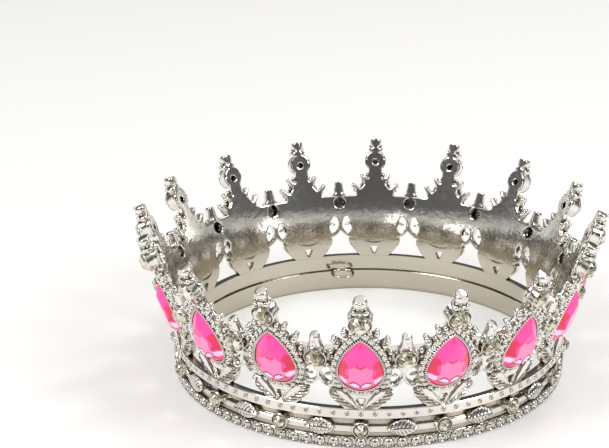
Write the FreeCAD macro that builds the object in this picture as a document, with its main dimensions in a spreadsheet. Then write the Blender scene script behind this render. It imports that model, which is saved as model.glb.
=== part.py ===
import FreeCAD, Part
import os
from math import asin, cos, degrees, radians, sin, tan
from FreeCAD import Placement, Rotation, Vector

# A round costume crown, moulded in one piece and plated, with glued-in stones.
# The crown stands on its foot rail with its axis along Z, and segment 1 faces -Y.
# Heights named "_rise" are measured from the top of the band.

DRIVING = {
    # the plain ring at the bottom
    "segment_count": 16,
    "inner_radius": 68.0,
    "band_thickness": 3.2,
    "wall_thickness": 2.3,
    "band_height": 14.2,
    "lip_height": 8.0,
    "lip_depth": 0.8,
    "foot_rail_height": 3.6,
    "top_rail_height": 3.6,
    "recess_depth": 2.2,
    "middle_bar_rise": 5.5,
    "middle_bar_height": 2.3,
    "middle_bar_depth": 1.0,
    # the flared openwork wall
    "flare_angle": 22.0,
    "flare_bend": 65.0,
    "finial_length": 5.35,
    "finial_axis": 1.7,
    "knob_width": 3.8,
    "tier_width": 5.4,
    "neck_width": 5.0,
    "upper_prong_rise": 31.3,
    "upper_prong_reach": 5.2,
    "lower_prong_rise": 28.0,
    "lower_prong_reach": 8.5,
    "prong_ball": 0.85,
    "saddle_rise": 24.1,
    "bullet_rise": 29.5,
    "bullet_width": 5.0,
    # the openings
    "leaf_foot": 5.6,
    "leaf_reach": 9.4,
    "gap_rise": 10.9,
    "loop_low_rise": 9.1,
    "loop_high_rise": 16.0,
    "loop_edge": 1.3,
    "loop_width": 3.5,
    "notch_width": 2.8,
    "notch_height": 3.0,
    "notch_foot": 0.7,
    # leaves in relief
    "leaf_relief": 0.6,
    "band_leaf_length": 10.6,
    "band_leaf_height": 6.2,
    # stones and their cups
    "gem_width": 14.4,
    "gem_round": 8.8,
    "gem_point": 12.8,
    "gem_middle_rise": 16.9,
    "gem_tilt": 19.0,
    "gem_cup_height": 4.3,
    "gem_girdle": 0.7,
    "gem_crown": 3.4,
    "gem_table_share": 0.6,
    "halo_reach": 2.5,
    "halo_height": 4.0,
    "halo_bead": 1.1,
    "seat_depth": 1.0,
    "cup_rim": 0.4,
    "cup_root": 0.4,
    "glue_gap": 0.1,
    "top_stone_rise": 36.9,
    "top_stone_width": 7.0,
    "top_cup_height": 4.8,
    "top_back_hole": 2.3,
    "side_stone_rise": 21.4,
    "side_stone_width": 6.6,
    "side_cup_height": 4.6,
    "side_back_hole": 4.4,
    "round_crown": 3.0,
    "round_table_share": 0.5,
    "band_stone_height": 7.1,
    "band_stone_width": 4.7,
    "band_cup_height": 4.0,
    "band_crown": 2.4,
    "band_root": 0.5,
    # the eyelet inside
    "eyelet_width": 9.6,
    "eyelet_wire": 1.2,
    "eyelet_inset": 4.0,
}

doc = FreeCAD.newDocument("costume_crown")
sheet = doc.addObject("Spreadsheet::Sheet", "Sizes")
for row, (alias, value) in enumerate(DRIVING.items(), start=1):
    sheet.set(f"A{row}", alias)
    sheet.set(f"B{row}", str(value))
    sheet.setAlias(f"B{row}", alias)
doc.recompute()


def size(alias):
    return float(sheet.get(alias))


SEGMENTS = int(size("segment_count"))
PITCH = 360 / SEGMENTS
BAND_TOP = size("band_height")
WALL = size("wall_thickness")
FLARE = radians(size("flare_angle"))
BEND = size("flare_bend")
STRAIGHT_RISE = BEND * sin(FLARE)
# cutting tools reach this far past what they cut
REACH = 8


# The inner face of the wall: upright at the band, then an arc, then a straight flare.
def wall_tilt(rise):
    return asin(min(max(rise / BEND, 0), sin(FLARE)))


def wall_radius(rise):
    tilt = wall_tilt(rise)
    past = max(rise - STRAIGHT_RISE, 0)
    return size("inner_radius") + BEND * (1 - cos(tilt)) + past * tan(FLARE)


# A distance up the straight flare, measured along its slope from where it starts.
def slant(rise):
    return (rise - STRAIGHT_RISE) / cos(FLARE)


# The finial stands on the cup of the top stone.
def tip_slant():
    return slant(size("top_stone_rise")) + size("top_stone_width") / 2 + size("finial_length")


def tip_rise():
    return STRAIGHT_RISE + tip_slant() * cos(FLARE)


# Half of a segment's width on the inner face, at a height above the band.
def half_pitch(rise):
    return wall_radius(rise) * sin(radians(PITCH / 2))


# A frame on the wall: X along the wall, Y up its slope, Z straight out of it.
def on_wall(rise, stand, turn=0, tilt=None):
    tilt = wall_tilt(rise) if tilt is None else tilt
    radius = wall_radius(rise) + stand * cos(tilt)
    height = BAND_TOP + rise - stand * sin(tilt)
    spin = Rotation(Vector(0, 0, 1), turn)
    base = spin.multVec(Vector(0, -radius, height))
    return Placement(base, spin.multiply(Rotation(Vector(1, 0, 0), 90 + degrees(tilt))))


# A frame on the band, facing straight out, at a height above the foot.
def on_band(height, radius, turn=0):
    spin = Rotation(Vector(0, 0, 1), turn)
    base = spin.multVec(Vector(0, -radius, height))
    return Placement(base, spin.multiply(Rotation(Vector(1, 0, 0), 90)))


# A closed flat face. A step of one point is a line, a step of two is an arc through the first.
def flat_face(start, steps, place):
    edges = []
    here = Vector(*start, 0)
    for step in steps:
        there = Vector(*step[-1], 0)
        if len(step) == 2:
            edges.append(Part.Arc(here, Vector(*step[0], 0), there).toShape())
        else:
            edges.append(Part.makeLine(here, there))
        here = there
    face = Part.Face(Part.Wire(edges))
    face.Placement = place
    return face


# Steps of the same outline mirrored in Y and walked backwards.
def mirrored(start, steps):
    corners = [start] + [step[-1] for step in steps]
    back = []
    for index in range(len(steps) - 1, -1, -1):
        via = [(-x, y) for x, y in steps[index][:-1]]
        x, y = corners[index]
        back.append((*via, (-x, y)))
    return back


def feature(label, shape, place=None):
    item = doc.addObject("Part::Feature", label)
    item.Label = label
    item.Shape = shape
    if place is not None:
        item.Placement = place
    return item


# A straight-sided piece pushed out of a flat face, along the face's own normal.
def pushed(label, face, depth):
    base = feature(label + "_outline", face)
    item = doc.addObject("Part::Extrusion", label)
    item.Base = base
    item.DirMode = "Custom"
    item.Dir = face.Placement.Rotation.multVec(Vector(0, 0, 1))
    item.Solid = True
    item.LengthFwd = depth
    return item


def round_post(label, place, radius, depth):
    item = doc.addObject("Part::Cylinder", label)
    item.setExpression("Radius", radius)
    item.setExpression("Height", depth)
    item.Placement = place
    return item


def joined(label, kind, items):
    item = doc.addObject(kind, label)
    item.Shapes = items
    return item


def cut(label, base, tool):
    item = doc.addObject("Part::Cut", label)
    item.Base = base
    item.Tool = tool
    return item


# The ring's section: two rails, a bar between them, and the flared wall above.
def ring_section():
    inside = size("inner_radius")
    rail = inside + size("band_thickness")
    floor = rail - size("recess_depth")
    bar = rail - size("middle_bar_depth")
    bar_low = size("middle_bar_rise")
    bar_high = bar_low + size("middle_bar_height")
    lip = inside - size("lip_depth")
    top = tip_rise() + REACH
    bend_x = inside + BEND

    def on_bend(radius, tilt):
        return Vector(bend_x - radius * cos(tilt), 0, BAND_TOP + radius * sin(tilt))

    def straight_end(radius):
        start = on_bend(radius, FLARE)
        past = top - (start.z - BAND_TOP)
        return Vector(start.x + past * tan(FLARE), 0, start.z + past)

    band = [Vector(inside, 0, BAND_TOP), Vector(inside, 0, size("lip_height")),
            Vector(lip, 0, size("lip_height")), Vector(lip, 0, 0),
            Vector(rail, 0, 0), Vector(rail, 0, size("foot_rail_height")),
            Vector(floor, 0, size("foot_rail_height")), Vector(floor, 0, bar_low),
            Vector(bar, 0, bar_low), Vector(bar, 0, bar_high),
            Vector(floor, 0, bar_high), Vector(floor, 0, BAND_TOP - size("top_rail_height")),
            Vector(rail, 0, BAND_TOP - size("top_rail_height")), Vector(rail, 0, BAND_TOP),
            Vector(inside + WALL, 0, BAND_TOP)]
    edges = list(Part.makePolygon(band).Edges)
    outer = BEND - WALL
    edges.append(Part.Arc(band[-1], on_bend(outer, FLARE / 2), on_bend(outer, FLARE)).toShape())
    edges.append(Part.makeLine(on_bend(outer, FLARE), straight_end(outer)))
    edges.append(Part.makeLine(straight_end(outer), straight_end(BEND)))
    edges.append(Part.makeLine(straight_end(BEND), on_bend(BEND, FLARE)))
    edges.append(Part.Arc(on_bend(BEND, FLARE), on_bend(BEND, FLARE / 2), band[0]).toShape())
    return Part.Face(Part.Wire(edges))


# One segment's share of the ring, a little wide, so that the wedge trims it clean.
def ring_slice():
    section = feature("ring_section", ring_section())
    item = doc.addObject("Part::Revolution", "ring_slice")
    item.Source = section
    item.Axis = Vector(0, 0, 1)
    item.Base = Vector(0, 0, 0)
    item.Solid = True
    spread = PITCH * 1.1
    item.Angle = spread
    item.Placement = Placement(Vector(), Rotation(Vector(0, 0, 1), -90 - spread / 2))
    return item


# A prong with a ball end: up to the ball, round it, and down again.
def prong(reach, rise, lean):
    ball = size("prong_ball")
    out, up = cos(radians(lean)) * ball, sin(radians(lean)) * ball
    return [((reach - up, rise + out),), ((reach + out, rise + up), (reach + up, rise - out))]


# Half of the finial's outline: a knob on a neck on a wider tier.
def finial_line():
    tip, length = tip_slant(), size("finial_length")
    knob, tier = size("knob_width") / 2, size("tier_width") / 2
    return [(knob * 0.6, tip), (knob, tip - length * 0.13), (knob, tip - length * 0.36),
            (knob * 0.7, tip - length * 0.49), (tier, tip - length * 0.62),
            (tier, tip - length * 0.86), (tier * 0.8, tip - length * 0.95)]


# Half of the small finial's outline, from its base up, about its own middle line.
def bullet_line():
    low, tip = slant(size("saddle_rise")), slant(size("bullet_rise"))
    half = size("bullet_width") / 2
    return [(half, low), (half, low + half * 0.5), (half * 0.8, low + half * 0.64),
            (half * 0.5, tip - half * 0.32), (half * 0.25, tip)]


# Everything above the crown's outline, drawn in the plane of the straight flare.
def sky():
    neck = size("neck_width") / 2
    cup = size("top_stone_width") / 2 + size("glue_gap")
    stone = slant(size("top_stone_rise"))
    low = slant(size("saddle_rise"))
    edge = half_pitch(size("saddle_rise"))
    lean = (half_pitch(size("bullet_rise")) - edge) / (slant(size("bullet_rise")) - low)
    start, *line = finial_line()
    steps = [(point,) for point in line]
    steps += [((cup, stone), (neck, stone - cup * 0.8)), ((neck, stone - cup),)]
    steps += prong(size("upper_prong_reach"), slant(size("upper_prong_rise")), 50)
    steps += prong(size("lower_prong_reach"), slant(size("lower_prong_rise")), 20)
    steps.append(((edge - size("bullet_width") * 0.8, low),))
    steps += [((edge + lean * (y - low) - x, y),) for x, y in bullet_line()]
    steps.append(((edge + REACH, slant(size("bullet_rise"))),))
    corner = (edge + REACH, tip_slant() + 2 * REACH)
    right = steps + [(corner,), ((0, corner[1]),)]
    left = mirrored(start, right)
    place = on_wall(STRAIGHT_RISE, -REACH)
    face = flat_face(start, right + left + [(start,)], place)
    return pushed("sky", face, WALL + 2 * REACH)


# The wide opening between two pairs of leaves, centred between two segments.
def leaf_gap(label, turn):
    reach = size("leaf_reach")
    top = size("gap_rise")
    foot = half_pitch(0) - size("leaf_foot")
    belly = half_pitch(top / 3) - reach * 0.92
    waist = half_pitch(top * 0.7) - reach
    start = (foot, 0)
    steps = [((belly, top / 3), (waist, top * 0.7)), ((waist + 0.5, top * 0.75),),
             ((waist * 0.6, top * 0.83), (0, top))]
    place = on_band(BAND_TOP, size("inner_radius") - REACH, turn)
    face = flat_face(start, steps + mirrored(start, steps) + [(start,)], place)
    return pushed(label, face, WALL + 2 * REACH)


# The pointed oval inside each side scroll.
def loop_opening(label, side):
    low, high = size("loop_low_rise"), size("loop_high_rise")
    middle = (low + high) / 2
    outer = half_pitch(middle) - size("loop_edge")
    inner = outer - size("loop_width")
    foot, head = (outer * 0.3 + inner * 0.7, low), (outer * 0.6 + inner * 0.4, high)
    steps = [((outer, middle), head), ((inner, middle), foot)]
    place = on_band(BAND_TOP, size("inner_radius") - REACH)
    face = flat_face((side * foot[0], foot[1]),
                     [tuple((side * x, y) for x, y in step) for step in steps], place)
    return pushed(label, face, WALL + 2 * REACH)


# The small three-sided opening between the stems of the two leaves.
def stem_notch():
    half = size("notch_width") / 2
    low = size("notch_foot")
    high = low + size("notch_height")
    place = on_band(BAND_TOP, size("inner_radius") - REACH)
    face = flat_face((0, low), [((half, high),), ((-half, high),), ((0, low),)], place)
    return pushed("stem_notch", face, WALL + 2 * REACH)


# The wall is thinner behind a finial, where a half-round piece stands on it.
def thinned(label, half, low, turn=0):
    high = tip_slant() + REACH
    face = flat_face((-half, low), [((half, low),), ((half, high),), ((-half, high),), ((-half, low),)],
                     on_wall(STRAIGHT_RISE, size("finial_axis"), turn))
    return pushed(label, face, WALL + REACH)


# A finial's round front: half a turn of its outline about its own middle line.
def half_round(label, line, low, turn=0):
    place = on_wall(STRAIGHT_RISE, size("finial_axis"), turn)
    corners = [(0, low), (line[0][0], low)] + line + [(0, line[-1][1]), (0, low)]
    if line[0][1] == low:
        corners.pop(1)
    outline = Part.makePolygon([Vector(x, y, 0) for x, y in corners])
    face = Part.Face(outline)
    face.Placement = place
    item = doc.addObject("Part::Revolution", label)
    item.Source = feature(label + "_outline", face)
    item.Axis = place.Rotation.multVec(Vector(0, 1, 0))
    item.Base = place.Base
    item.Angle = -180
    item.Solid = True
    return item


# One of the two leaves under a gem, as a raised pad.
def stem_leaf(label, side):
    reach = size("leaf_reach")
    top = size("gap_rise") * 0.75
    foot = size("notch_width") / 2
    steps = [((reach * 0.84, top * 0.33), (reach - 0.4, top)), ((reach * 0.3, top * 0.8), (foot * 0.6, 0.2))]
    radius = size("inner_radius") + WALL / 2
    face = flat_face((side * foot * 0.6, 0.2),
                     [tuple((side * x, y) for x, y in step) for step in steps],
                     on_band(BAND_TOP, radius))
    return pushed(label, face, WALL / 2 + size("leaf_relief"))


# The leaf that lies along the band between two segments.
def band_leaf(label, turn):
    half = size("band_leaf_length") / 2
    up = size("band_leaf_height") / 2
    radius = size("inner_radius") + size("band_thickness") - size("recess_depth") - size("band_root")
    face = flat_face((-half, 0), [((0, up), (half, 0)), ((0, -up), (-half, 0))],
                     on_band(size("band_stone_height"), radius, turn))
    return pushed(label, face, size("recess_depth") + size("band_root") + size("leaf_relief"))


# The gem's outline: a round end below and a point above, grown evenly by a margin.
def pear_steps(grow):
    wide = size("gem_width") / 2 + grow
    low = -size("gem_round") - grow
    high = size("gem_point") + grow * 1.44
    shoulder = (size("gem_width") * 0.359 + grow * 0.82, size("gem_point") * 0.516 + grow * 0.57)
    start = (0, low)
    steps = [((wide * 0.73, low * 0.7), (wide, 0)), (shoulder, (0, high))]
    return start, steps + mirrored(start, steps)


def gem_place(stand, turn=0):
    return on_wall(size("gem_middle_rise"), stand, turn, radians(size("gem_tilt")))


# The gem's setting: a raised pear-shaped cup wall around a flat floor.
def gem_cup():
    start, steps = pear_steps(size("glue_gap") + size("cup_rim"))
    depth = size("gem_cup_height") - WALL / 2
    face = flat_face(start, steps, gem_place(size("gem_cup_height") - depth))
    return pushed("gem_cup", face, depth)


# The beads that stand round the setting, as one scalloped block.
def gem_halo():
    bead = size("halo_bead")
    start, steps = pear_steps(size("halo_reach") - bead)
    corners = []
    for edge, parts in zip(flat_face(start, steps, Placement()).Wires[0].OrderedEdges, (6, 6, 6, 6)):
        walk = edge.discretize(parts + 1)
        if corners and (walk[0] - corners[-1]).Length > (walk[-1] - corners[-1]).Length:
            walk.reverse()
        corners += walk if not corners else walk[1:]
    beads = []
    for here, there in zip(corners, corners[1:]):
        middle = (here + there) * 0.5
        out = Vector(there.y - here.y, here.x - there.x, 0).normalize() * bead
        beads.append(((middle.x + out.x, middle.y + out.y), (there.x, there.y)))
    depth = size("halo_height") - WALL / 2
    face = flat_face(start, beads, gem_place(size("halo_height") - depth))
    return pushed("gem_halo", face, depth)


def gem_seat():
    start, steps = pear_steps(size("glue_gap"))
    floor = size("gem_cup_height") - size("seat_depth")
    face = flat_face(start, steps, gem_place(floor))
    return pushed("gem_seat", face, REACH)


def side_turns():
    return {"left": -PITCH / 2, "right": PITCH / 2}


# One finished segment, trimmed to its share of the circle.
def segment():
    holes = [sky(), stem_notch()]
    holes += [leaf_gap("leaf_gap_" + word, turn) for word, turn in side_turns().items()]
    holes += [loop_opening("loop_left", -1), loop_opening("loop_right", 1)]
    top_foot, side_foot = slant(size("top_stone_rise")), slant(size("saddle_rise"))
    holes.append(thinned("thin_top", size("tier_width"), top_foot))
    holes += [thinned("thin_" + word, size("bullet_width") * 0.6, side_foot, turn)
              for word, turn in side_turns().items()]
    wall = cut("open_wall", ring_slice(), joined("wall_openings", "Part::MultiFuse", holes))

    rim = "Sizes.glue_gap + Sizes.cup_rim"
    raised = [wall, gem_cup(), gem_halo(), stem_leaf("leaf_left", -1), stem_leaf("leaf_right", 1)]
    raised.append(half_round("finial_top", finial_line()[::-1], top_foot))
    raised.append(round_post("top_cup", on_wall(size("top_stone_rise"), size("cup_root")),
                             "Sizes.top_stone_width / 2 + " + rim, "Sizes.top_cup_height - Sizes.cup_root"))
    band_root = on_band(size("band_stone_height"), size("inner_radius") + size("band_root"))
    raised.append(round_post("band_cup", band_root, "Sizes.band_stone_width / 2 + " + rim,
                             "Sizes.band_cup_height - Sizes.band_root"))
    for word, turn in side_turns().items():
        side_root = on_wall(size("side_stone_rise"), size("cup_root"), turn)
        raised.append(round_post("side_cup_" + word, side_root, "Sizes.side_stone_width / 2 + " + rim,
                                 "Sizes.side_cup_height - Sizes.cup_root"))
        raised.append(band_leaf("band_leaf_" + word, turn))
        raised.append(half_round("finial_" + word, bullet_line(), side_foot, turn))
    body = joined("raised_wall", "Part::MultiFuse", raised)

    depth = size("seat_depth")
    seats = [gem_seat()]
    seats.append(round_post("top_seat", on_wall(size("top_stone_rise"), size("top_cup_height") - depth),
                            "Sizes.top_stone_width / 2 + Sizes.glue_gap", f"{REACH}"))
    seats.append(round_post("band_seat", band_seat_place(0),
                            "Sizes.band_stone_width / 2 + Sizes.glue_gap", f"{REACH}"))
    seats.append(round_post("top_back_hole", on_wall(size("top_stone_rise"), -REACH),
                            "Sizes.top_back_hole / 2", f"{2 * REACH}"))
    for word, turn in side_turns().items():
        seats.append(round_post("side_seat_" + word,
                                on_wall(size("side_stone_rise"), size("side_cup_height") - depth, turn),
                                "Sizes.side_stone_width / 2 + Sizes.glue_gap", f"{REACH}"))
        seats.append(round_post("side_back_hole_" + word, on_wall(size("side_stone_rise"), -REACH, turn),
                                "Sizes.side_back_hole / 2", f"{2 * REACH}"))
    seated = cut("seated_wall", body, joined("seats", "Part::MultiFuse", seats))
    return joined("segment", "Part::MultiCommon", [seated, wedge()])


def band_seat_place(turn):
    radius = size("inner_radius") + size("band_cup_height") - size("seat_depth")
    return on_band(size("band_stone_height"), radius, turn)


# The slice of space that one segment may fill.
def wedge():
    far = (size("inner_radius") + tip_rise()) * 1.5
    half = radians(PITCH / 2)
    corners = [Vector(0, 0, 0), Vector(-far * sin(half), -far * cos(half), 0),
               Vector(far * sin(half), -far * cos(half), 0), Vector(0, 0, 0)]
    base = feature("wedge_outline", Part.Face(Part.makePolygon(corners)))
    item = doc.addObject("Part::Extrusion", "wedge")
    item.Base = base
    item.DirMode = "Custom"
    item.Dir = Vector(0, 0, 1)
    item.Solid = True
    item.LengthFwd = BAND_TOP + tip_rise() + 2 * REACH
    return item


# A small round eye inside the band, where a ribbon or a comb is tied.
def eyelet():
    item = doc.addObject("Part::Torus", "eyelet")
    item.setExpression("Radius1", "Sizes.eyelet_width / 2 - Sizes.eyelet_wire / 2")
    item.setExpression("Radius2", "Sizes.eyelet_wire / 2")
    radius = size("inner_radius") - size("eyelet_inset")
    spin = Rotation(Vector(0, 0, 1), 180 + PITCH / 2)
    item.Placement = Placement(spin.multVec(Vector(0, -radius, size("lip_height"))), spin)
    return item


# The whole moulding: the segments stand round the circle and fuse into one ring.
def frame():
    one = segment()
    eye = eyelet()
    doc.recompute()
    turned = []
    for index in range(SEGMENTS):
        copy = one.Shape.copy()
        copy.rotate(Vector(0, 0, 0), Vector(0, 0, 1), index * PITCH)
        turned.append(copy)
    ring = turned[0].fuse(turned[1:] + [eye.Shape])
    return feature("frame", ring)


# A gem, cut flat behind, with straight facets up to a flat table.
def gem_shape():
    start, steps = pear_steps(0)
    outline = flat_face(start, steps, Placement()).Wires[0]
    corners = []
    for edge, parts in zip(outline.Edges, (3, 4, 4, 3)):
        walk = edge.discretize(parts + 1)
        if corners and (walk[0] - corners[-1]).Length > (walk[-1] - corners[-1]).Length:
            walk.reverse()
        corners += walk if not corners else walk[1:]
    share = size("gem_table_share")
    girdle = [Vector(p.x, p.y, size("gem_girdle")) for p in corners]
    table = [Vector(p.x * share, p.y * share, size("gem_crown")) for p in corners]
    return Part.makeLoft([Part.makePolygon(line) for line in (corners, girdle, table)], True, True)


def gems():
    shape = gem_shape()
    floor = size("gem_cup_height") - size("seat_depth")
    return [feature(f"gem_{index + 1:02d}", shape, gem_place(floor, index * PITCH))
            for index in range(SEGMENTS)]


def round_stone(label, place, width, crown):
    item = doc.addObject("Part::Cone", label)
    item.Label = label
    item.setExpression("Radius1", f"Sizes.{width} / 2")
    item.setExpression("Radius2", f"Sizes.{width} / 2 * Sizes.round_table_share")
    item.setExpression("Height", f"Sizes.{crown}")
    item.Placement = place
    return item


def top_stones():
    floor = size("top_cup_height") - size("seat_depth")
    return [round_stone(f"top_stone_{index + 1:02d}",
                        on_wall(size("top_stone_rise"), floor, index * PITCH),
                        "top_stone_width", "round_crown") for index in range(SEGMENTS)]


def side_stones():
    floor = size("side_cup_height") - size("seat_depth")
    return [round_stone(f"side_stone_{index + 1:02d}",
                        on_wall(size("side_stone_rise"), floor, (index + 0.5) * PITCH),
                        "side_stone_width", "round_crown") for index in range(SEGMENTS)]


# The smallest stones are alike and share one node.
def band_stones():
    stones = [round_stone(f"band_stone_{index + 1:02d}", band_seat_place(index * PITCH),
                          "band_stone_width", "band_crown") for index in range(SEGMENTS)]
    doc.recompute()
    return feature("band_stones", Part.makeCompound([stone.Shape for stone in stones]))


parts = [frame()] + gems() + top_stones() + side_stones() + [band_stones()]
doc.recompute()

for item in doc.Objects:
    if "Invalid" in item.State or "Error" in item.State:
        raise RuntimeError(f"{item.Label} failed: {item.State}")
for item in parts:
    if item.Shape.isNull() or not item.Shape.isValid():
        raise RuntimeError(f"{item.Label} is not a valid solid")
    if item.Label != "band_stones" and len(item.Shape.Solids) != 1:
        raise RuntimeError(f"{item.Label} has {len(item.Shape.Solids)} solids")

os.makedirs("parts", exist_ok=True)
for item in parts:
    item.Shape.exportStep(f"parts/{item.Label}.step")
print(f"{len(parts)} parts, frame volume {parts[0].Shape.Volume / 1000:.1f} cm3")
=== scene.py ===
import bmesh
import bpy
import numpy as np
from mathutils import Matrix


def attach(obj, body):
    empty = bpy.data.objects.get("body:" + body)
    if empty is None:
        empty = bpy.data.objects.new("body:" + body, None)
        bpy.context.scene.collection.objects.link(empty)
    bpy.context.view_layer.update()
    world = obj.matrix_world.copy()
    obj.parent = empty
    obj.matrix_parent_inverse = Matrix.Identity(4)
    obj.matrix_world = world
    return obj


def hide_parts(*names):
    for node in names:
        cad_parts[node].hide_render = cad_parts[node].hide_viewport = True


# A plated costume crown: sixteen like segments on a ring. Lengths are in millimetres until a mesh is filled.
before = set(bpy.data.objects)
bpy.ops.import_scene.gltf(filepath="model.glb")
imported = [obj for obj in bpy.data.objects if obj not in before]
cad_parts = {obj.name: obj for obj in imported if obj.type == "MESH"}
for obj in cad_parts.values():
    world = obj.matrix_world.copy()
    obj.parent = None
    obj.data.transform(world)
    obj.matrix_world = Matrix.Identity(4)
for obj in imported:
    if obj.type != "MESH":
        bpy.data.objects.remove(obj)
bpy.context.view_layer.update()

crown = {
    "segments": 16,
    "innerRadius": 68.0,
    "bandTop": 14.2,
    "bend": 65.0,          # radius of the wall's curve, seen from the side
    "flare": 22.0,         # lean of the straight upper part, in degrees
}
count = crown["segments"]
halfTurn = np.pi / count
flare = np.radians(crown["flare"])
straightRise = crown["bend"] * np.sin(flare)
straightClimb = crown["bend"] * flare


# The wall's own coordinates: x along it, climb up its slope, stand out of it.
def riseAt(climb):  # height over the band: an arc up to the flare, then a straight line
    climb = np.asarray(climb, float)
    curved = crown["bend"] * np.sin(np.clip(climb, 0, straightClimb) / crown["bend"])
    return curved + np.maximum(climb - straightClimb, 0) * np.cos(flare) + np.minimum(climb, 0)


def tiltAt(climb):  # lean of the slope: climb over the arc's radius, up to the flare
    return np.clip(np.asarray(climb, float) / crown["bend"], 0, flare)


def radiusAt(climb):  # inner radius: the arc's sideways reach, then the straight line's
    past = np.maximum(np.asarray(climb, float) - straightClimb, 0) * np.sin(flare)
    return crown["innerRadius"] + crown["bend"] * (1 - np.cos(tiltAt(climb))) + past


def climbOf(rise):  # the way back, from a height over the band to the climb
    if rise > straightRise:
        return straightClimb + (rise - straightRise) / np.cos(flare)
    return crown["bend"] * np.arcsin(rise / crown["bend"])


def onWall(x, climb, stand):  # a point of the curved wall, wrapped round the crown's axis
    tilt, inner = tiltAt(climb), radiusAt(climb)
    turn = np.arcsin(x / inner)
    radius = inner + stand * np.cos(tilt)
    return np.stack([radius * np.sin(turn), -radius * np.cos(turn),
                     crown["bandTop"] + riseAt(climb) - stand * np.sin(tilt)], -1)


def onPlane(points, climb, tilt=None):  # flat work set on the wall: x, up the slope, outwards
    tilt = float(tiltAt(climb)) if tilt is None else tilt
    base = np.array([0, -float(radiusAt(climb)), crown["bandTop"] + float(riseAt(climb))])
    axes = np.array([[1, 0, 0], [0, -np.sin(tilt), np.cos(tilt)], [0, -np.cos(tilt), -np.sin(tilt)]])
    return base + np.asarray(points, float) @ axes


def onBand(points, height):  # flat work on the upright band: x, up, outwards from the crown's axis
    points = np.asarray(points, float)
    return np.stack([points[..., 0], -points[..., 2], points[..., 1] + height], -1)


def turned(points, angle):  # turned about the crown's axis
    c, s = np.cos(angle), np.sin(angle)
    return np.asarray(points, float) @ np.array([[c, s, 0], [-s, c, 0], [0, 0, 1]])


# Surfaces: each function gives (points, [faces]) with the faces as rows of indices.
def gridFaces(rows, cols, wrap=False):  # quads between neighbours of a rows x cols grid
    across = np.arange(cols if wrap else cols - 1)
    i, j = np.meshgrid(np.arange(rows - 1), across, indexing="ij")
    k = (j + 1) % cols
    quads = np.stack([i * cols + j, i * cols + k, (i + 1) * cols + k, (i + 1) * cols + j], -1)
    return quads.reshape(-1, 4)


def closedRound(sections):  # closed sections, carried round a closed path
    sections = np.concatenate([sections, sections[:1]])
    rows, cols = sections.shape[:2]
    return sections.reshape(-1, 3), [gridFaces(rows, cols, True)]


def lathe(profile, around):  # radius and height rows, turned about the height's axis
    profile = np.asarray(profile, float)
    angle = np.linspace(0, 2 * np.pi, around, endpoint=False)
    r, h = profile[:, :1], profile[:, 1:2]
    points = np.stack([r * np.cos(angle), r * np.sin(angle), h + 0 * angle], -1)
    return points.reshape(-1, 3), [gridFaces(len(profile), around, True)]


def smoothLine(points, steps):  # Catmull-Rom curve through the rows of points
    points = np.asarray(points, float)
    wide = np.vstack([2 * points[0] - points[1], points, 2 * points[-1] - points[-2]])
    t = np.linspace(0, len(points) - 1, steps)
    i = np.minimum(t.astype(int), len(points) - 2)
    t = (t - i)[:, None]
    a, b, c, d = wide[i], wide[i + 1], wide[i + 2], wide[i + 3]
    cubic = (3 * b - a - 3 * c + d) * t**3
    return 0.5 * (2 * b + (c - a) * t + (2 * a - 5 * b + 4 * c - d) * t**2 + cubic)


def merged(parts):  # several surfaces as one
    points, faces, base = [], [], 0
    for some, rows in parts:
        points.append(some)
        faces += [row + base for row in rows]
        base += len(some)
    return np.vstack(points), faces


def copied(faces, times, size):  # the faces of each copy in turn, when a copy has size corners
    steps = np.arange(times)[:, None, None] * size
    return [(rows[None] + steps).reshape(-1, rows.shape[1]) for rows in faces]


def repeated(part, angles):  # the same surface at several turns about the crown's axis
    points, faces = part
    spun = np.stack([turned(points, angle) for angle in angles])
    return spun.reshape(-1, 3), copied(faces, len(angles), len(points))


def scattered(part, places):  # one small surface at many places, each a row of 3 axes and a point
    points, faces = part
    spots = np.einsum("ni,kij->knj", points, places[:, :3]) + places[:, 3:]
    return spots.reshape(-1, 3), copied(faces, len(places), len(points))


segmentTurns = np.arange(count) * 2 * halfTurn
betweenTurns = segmentTurns + halfTurn

making = {
    "millimetre": 0.001,
    "weld": 0.000004,      # corners closer than this become one, in metres
    "crease": 38,          # edges sharper than this stay sharp, in degrees
}


def weld(mesh):  # one corner where several meet, and every face turned outwards
    work = bmesh.new()
    work.from_mesh(mesh)
    bmesh.ops.remove_doubles(work, verts=work.verts, dist=making["weld"])
    bmesh.ops.recalc_face_normals(work, faces=work.faces)
    work.to_mesh(mesh)
    work.free()


def addObject(name, data):
    thing = bpy.data.objects.new(name, data)
    bpy.context.scene.collection.objects.link(thing)
    return thing


def putOnCrown(name, mesh, material, node):  # the mesh takes the place of a solid
    mesh.materials.append(material)
    piece = addObject(name, mesh)
    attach(piece, "root")
    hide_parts(node)


def makePiece(name, part):  # a plated piece: a surface's corners and faces, copied whole into a mesh
    points, faces = part
    mesh = bpy.data.meshes.new(name)
    mesh.vertices.add(len(points))
    mesh.vertices.foreach_set("co", (points * making["millimetre"]).ravel())
    corners = np.concatenate([rows.ravel() for rows in faces]).astype(np.int32)
    mesh.loops.add(len(corners))
    mesh.loops.foreach_set("vertex_index", corners)
    sizes = np.concatenate([np.full(len(rows), rows.shape[1]) for rows in faces])
    mesh.polygons.add(len(sizes))
    mesh.polygons.foreach_set("loop_start", (np.cumsum(sizes) - sizes).astype(np.int32))
    mesh.update(calc_edges=True)
    weld(mesh)
    mesh.validate()
    mesh.shade_smooth()
    mesh.set_sharp_from_angle(angle=np.radians(making["crease"]))
    putOnCrown(name, mesh, plating, "frame")
    print(name, len(mesh.polygons), "faces")


def newMaterial(name):
    material = bpy.data.materials.new(name)
    material.use_nodes = True
    tree = material.node_tree
    return material, tree, tree.nodes["Principled BSDF"]


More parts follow.
